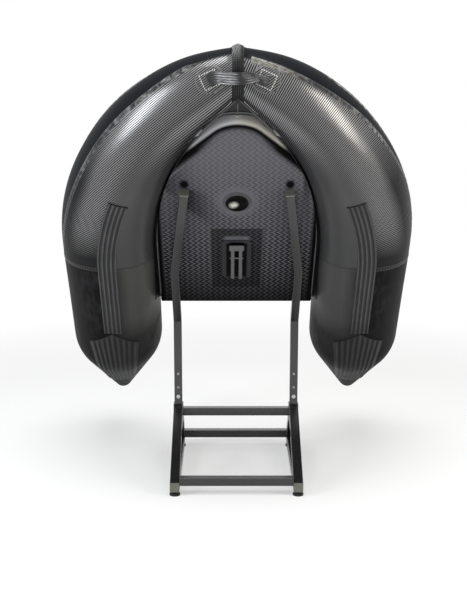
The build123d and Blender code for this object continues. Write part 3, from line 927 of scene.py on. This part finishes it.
def patch_cloth():
    """The tubes' ribbed cloth with a plain rim and a square of pale stitches."""
    patch = Finish("patch_cloth")
    x, y, z = patch.split(patch.mark("plan"))
    u, v, radius = patch.split(patch.mark("cloth"))
    across = (y - z * weave_dip) * cos(weave_turn) - x * sin(weave_turn)
    ribs = (across.wave(patch_rib_pitch) * 0.5 + 0.5).step(0.5, 0.5)
    square = (u.size().larger(v.size()) - patch_square).size().fall(0.0012, 0.0006)
    stitch = square * (u + v).wave(patch_stitch).step(-0.2, 0.3)
    shade = patch.blend(ribs, (0.004, 0.004, 0.005), (0.17, 0.17, 0.17))
    rim = radius.step(patch_radius - patch_rim, 0.001)
    shade = patch.blend(rim, shade, (0.12, 0.12, 0.12))
    return patch.finish(
        base_color=patch.blend(stitch, shade, (0.60, 0.60, 0.58)), roughness=0.34,
        specular_ior_level=0.10, normal=patch.bump(ribs * 0.5 + stitch * 1.5, 0.0007, 0.6),
    )


patch_finish = patch_cloth()
strap_ends = {}
edge = [patch_radius - 0.0008, patch_radius]
radii = np.concatenate([np.linspace(0.0, patch_radius - 0.002, 10), edge])[:, None]
lift = np.concatenate([np.full(10, patch_thickness), [patch_thickness * 0.75, 0.0]])[:, None]
spin = np.linspace(0, 2 * pi, 65)[:-1]
u, v = radii * np.cos(spin), radii * np.sin(spin)
for hand, side in hands.items():
    name = "handle_patch_" + hand
    run, turn = patch_place(name)
    strap_ends[hand] = [
        on_tube(run + shift, turn, 2 * patch_thickness) * np.array([side, 1, 1])
        for shift in (0.018, -0.004)
    ]
    grid = on_tube(run + u, turn + v / tube_radius(run + u), glue + lift)
    make_skin(name + "_cloth", side, grid[:, ::-1], patch_finish, [name],
              {"cloth": stack(u, v, radii)[:, ::-1]}, ring=True)

left_in, left_out = strap_ends["left"]
right_in, right_out = strap_ends["right"]
over = np.array([0, cos(radians(58)), sin(radians(58))])
top = (left_in + right_in) / 2 + over * strap_lift
points = np.array([left_out, left_in, (left_in + top) / 2 + over * 0.006, top,
                   (right_in + top) / 2 + over * 0.006, right_in, right_out])
t = np.linspace(0, 1, 90)
line = np.stack([np.interp(t, np.linspace(0, 1, 7), points[:, k]) for k in range(3)], axis=1)
for smoothing in range(60):
    line[1:-1] = (line[:-2] + 2 * line[1:-1] + line[2:]) / 4
along = unit(np.gradient(line, axis=0))
flat_way = unit(np.cross(along, over))
roll = np.interp(t, [0, 0.55, 0.78, 1.0], [0.0, 0.0, radians(64), radians(20)])[:, None]
wide = flat_way * np.cos(roll) + np.cross(flat_way, along) * np.sin(roll)
thick = np.cross(wide, along)[:, None]
across = np.linspace(-1, 1, 41)
offset = (across * strap_width / 2)[None, :, None]
ribs = strap_rib_height * (np.cos(across * pi * 5) * 0.5 + 0.5)
upper = line[:, None] + wide[:, None] * offset
lower = upper[:, ::-1] + thick * strap_thickness / 2
upper = upper - thick * (strap_thickness / 2 + ribs)[None, :, None]
marks = stack(t[:, None], across * strap_width / 2, 0.0)
webbing = Finish("webbing")
t_way, width_way = webbing.split(webbing.mark("cloth"))[:2]
ribs = width_way.wave(strap_rib_pitch) * 0.5 + 0.5
weft = t_way.wave(1 / 90) * 0.5 + 0.5
# Painted highlight: the ribs are pale in long streaks only over a stretch left of the strap's top;
# elsewhere the strap is black
painted_streak = webbing.noise(webbing.join(t_way * 9.0, width_way * 420.0, 0.0), 1.0, 2.0)
shade = webbing.blend(ribs * painted_streak.step(0.5, 0.35), (0.014, 0.014, 0.016), (0.46, 0.46, 0.47))
ends = (t_way - 0.335).size().step(0.15, 0.07)
webbing_finish = webbing.finish(
    base_color=webbing.blend(ends, shade, (0.006, 0.006, 0.007)), roughness=0.28,
    specular_ior_level=0.5, normal=webbing.bump(ribs + weft * 0.2, 0.0010, 0.8),
)
make_skin("handle_strap_webbing", 1, np.concatenate([upper, lower], axis=1), webbing_finish,
          ["handle_strap"],
          {"cloth": np.concatenate([marks, marks[:, ::-1]], axis=1)}, ring=True, caps=True)

# Floor fittings. A moulded ring holds the glossy dished cap of the floor's valve. Behind it the fin
# box stands on a smooth plate, with two rails and a pin that lock the fin.
profile = [(0.0460, 0.0003), (0.0420, 0.0016), (0.0390, 0.0044), (0.0370, 0.0058), (0.0350, 0.0062),
           (0.0330, 0.0060), (0.0318, 0.0052), (0.0300, 0.0036), (0.0275, 0.0024), (0.0240, 0.0016),
           (0.0190, 0.0010), (0.0120, 0.0006), (0.0040, 0.0005), (0.0002, 0.0005)]
cap_radius = 0.0362
gleam_x, gleam_y, gleam_radius = -0.010, -0.012, 0.0125
recess_y, recess_half_width, recess_half_length = 0.311, 0.034, 0.086
pin_y, pin_radius, pin_half_length = 0.338, 0.0026, 0.0235

spin = np.linspace(0, 2 * pi, 97)[:-1]
radii, heights = np.array(profile).T[:, :, None]
valve = Finish("valve_plastic")
radius = valve.split(valve.mark("cloth"))[0]
ring = radius.step(cap_radius, 0.0030)
x, y, z = valve.split(valve.mark("plan"))
# Painted highlight: a pale spot in the lower left of the dished cap, broken up by noise
painted_gleam = valve.join(x - gleam_x, (y - valve_y - gleam_y) * 1.1, 0.0)
painted_gleam = valve.gap(painted_gleam, (0, 0, 0)).fall(gleam_radius, 0.011) * (1.0 - ring)
gleam_breakup = valve.noise(valve.mark("plan"), 110.0, 2.0).step(0.45, 0.3)
shade = valve.blend(ring, (0.0008, 0.0008, 0.0008), (0.072, 0.072, 0.078))
valve_finish = valve.finish(
    base_color=valve.blend(painted_gleam * (0.35 + gleam_breakup * 0.65), shade, (0.52, 0.52, 0.48)),
    roughness=0.22 + ring * 0.24, specular_ior_level=0.05,
)
make_skin("floor_valve_ring", 1,
          stack(radii * np.cos(spin), valve_y + radii * np.sin(spin), heights), valve_finish,
          ["floor_valve"], {"cloth": stack(radii, spin, 0.0)}, ring=True)


def solid_finish(name, dark, light, rough, level, grain_scale, depth, metal=0.0, **extra):
    """Finish of a rigid part: two close shades with fine grain and slow variation."""
    made = Finish(name)
    place = made.place()
    wear = made.noise(place, 9.0, 4.0)
    grain = made.noise(place, grain_scale, 2.0)
    return made.finish(
        base_color=made.blend(wear, dark, light), roughness=rough + (wear - 0.5) * 0.12,
        metallic=metal, specular_ior_level=level, normal=made.bump(grain, depth, 0.5), **extra,
    )


def dress(finish, *names):
    """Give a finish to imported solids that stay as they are."""
    for name in names:
        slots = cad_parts[name].data.materials
        slots.clear()
        slots.append(finish)


def boat_place(made):
    """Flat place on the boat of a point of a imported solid: across, to the bow and proud."""
    x, y, z = made.split(made.place())
    fall, climb = bend_y - y, z - bend_height
    return x, fall * sin(lean) + climb * cos(lean), fall * cos(lean) - climb * sin(lean)


plate = Finish("fin_patch_cloth")
x, y, z = boat_place(plate)
# Painted shade: the plate is near black inside its rim, where the recess lies in shade
rim = (x.size() - recess_half_width).larger((y - recess_y).size() - recess_half_length)
plate_finish = plate.finish(
    base_color=plate.blend(rim.step(0.0, 0.003), (0.0012, 0.0012, 0.0014), (0.032, 0.032, 0.036)),
    roughness=0.44, specular_ior_level=0.05,
)
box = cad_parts["fin_box"]
corners = [box.matrix_world @ v.co for v in box.data.vertices]
fin_top = max((bend_y - c.y) * cos(lean) - (c.z - bend_height) * sin(lean) for c in corners)
rails = Finish("fin_rails")
x, y, z = boat_place(rails)
worn = rails.noise(rails.place(), 160.0, 3.0)
shade = rails.blend(worn, (0.070, 0.070, 0.072), (0.120, 0.120, 0.120))
# Painted shade: the box is near black below the tops of its rails, in the slot and down its sides
rails_finish = rails.finish(
    base_color=rails.blend(z.step(fin_top - 0.0020, 0.001), (0.0012, 0.0012, 0.0013), shade),
    roughness=0.34 + worn * 0.1, specular_ior_level=0.10, normal=rails.bump(worn, 0.0003, 0.4),
)
moulded = solid_finish("moulded_plastic", (0.016, 0.016, 0.017), (0.034, 0.034, 0.035),
                       0.36, 0.3, 420.0, 0.0003)
dress(plate_finish, "fin_patch")
dress(rails_finish, "fin_box")
dress(moulded, "tube_valve_left", "tube_valve_right")
pin = [(x, pin_y, fin_top - 0.0012) for x in np.linspace(-pin_half_length, pin_half_length, 12)]
add_bead("fin_pin", pin, pin_radius, rails_finish)

# Stand. Square steel tube, welded and powder coated black, with plastic plugs in its open ends,
# rubber feet and zinc bolts.
steel = solid_finish("black_steel", (0.006, 0.006, 0.0065), (0.010, 0.010, 0.0105),
                     0.26, 0.5, 700.0, 0.00001, coat_weight=0.5, coat_roughness=0.16)
plug = solid_finish("plug_plastic", (0.105, 0.105, 0.090), (0.140, 0.140, 0.122),
                    0.40, 0.3, 500.0, 0.0003)
pad = solid_finish("foot_rubber", (0.008, 0.008, 0.008), (0.014, 0.014, 0.014),
                   0.62, 0.4, 300.0, 0.0005)
zinc = solid_finish("zinc_steel", (0.40, 0.40, 0.41), (0.52, 0.52, 0.53),
                    0.34, 0.5, 300.0, 0.0002, metal=1.0)
for hand in hands:
    for finish, names in {
        steel: ["arm", "post", "collar", "front_leg", "rear_leg", "ground_rail"],
        plug: ["arm_cap", "front_plug", "rear_plug"],
        pad: ["front_pad", "rear_pad"],
        zinc: ["post_bolt"],
    }.items():
        dress(finish, *[f"{name}_{hand}" for name in names])
dress(steel, "front_bar", "rear_bar", "upper_bar")

# Studio. A pale floor runs out to a white background that shows in reflections too. One large soft
# light hangs overhead, and two side softboxes draw the long highlights on the tubes.
ground_reach = 12.0


def ray(made, kind):
    return made.node("LightPath", output=f"Is {kind} Ray")


def seen(made):
    """1 on rays from the camera, off glossy surfaces and through glass, 0 on the rest."""
    return (ray(made, "Camera") + ray(made, "Glossy") + ray(made, "Transmission")).clamped()


ground = Finish("pale_ground")
far = ground.gap(ground.place(), (0, 0, 0)).step(1.6, 1.8)
white = (far * seen(ground)).larger(ray(ground, "Camera") * 0.45)
near_floor = ground.node("BsdfPrincipled", None, {
    "Base Color": (0.93, 0.93, 0.93, 1), "Roughness": 0.9, "Specular IOR Level": 0.1})
background = ground.node("Emission", None, {"Color": (1, 1, 1, 1), "Strength": 1.0})
surface = ground.node("MixShader", None, {0: white, 1: near_floor, 2: background})
ground.node("OutputMaterial", None, {"Surface": surface})
mesh = bpy.data.meshes.new("ground")
corners = [(x * ground_reach, y * ground_reach, 0) for x, y in ((-1, -1), (1, -1), (1, 1), (-1, 1))]
mesh.from_pydata(corners, [], [(0, 1, 2, 3)])
mesh.materials.append(ground.material)
ground_sheet = bpy.data.objects.new("ground", mesh)
bpy.context.scene.collection.objects.link(ground_sheet)

world = bpy.data.worlds.new("studio")
bpy.context.scene.world = world
sky = Finish("studio", world)
light = sky.node("Background", None, {"Color": (1, 1, 1, 1), "Strength": 0.36 + 0.64 * seen(sky)})
sky.node("OutputWorld", None, {"Surface": light})

for label, place, target, width, height, power, tint in (
    ("left_softbox", (-2.9, -1.80, 1.45), (-0.2, -0.45, 1.2), 0.80, 2.2, 72, (0.92, 0.96, 1.0)),
    ("right_softbox", (2.9, -1.65, 1.35), (0.2, -0.40, 1.1), 0.80, 2.2, 58, (1.0, 0.96, 0.88)),
    ("top_softbox", (0.0, -1.1, 3.7), (0, -0.2, 0.6), 2.6, 2.0, 112, (1.0, 1.0, 1.0)),
):
    lamp = bpy.data.lights.new(label, "AREA")
    lamp.shape, lamp.size, lamp.size_y = "RECTANGLE", width, height
    lamp.energy, lamp.color = power, tint
    holder = bpy.data.objects.new(label, lamp)
    holder.location = place
    holder.rotation_euler = (Vector(target) - Vector(place)).to_track_quat("-Z", "Y").to_euler()
    bpy.context.scene.collection.objects.link(holder)

camera = bpy.data.cameras.new("camera")
camera.lens, camera.sensor_width = 66.0, 36.0
camera.shift_x = 0.0085
eye = bpy.data.objects.new("camera", camera)
eye.location = (-0.027, bend_y - 0.338 - 3.457, 1.420)
eye.rotation_euler = (radians(90 - 12.3), 0, 0)
bpy.context.scene.collection.objects.link(eye)
bpy.context.scene.camera = eye
bpy.context.scene.view_settings.view_transform = "Standard"
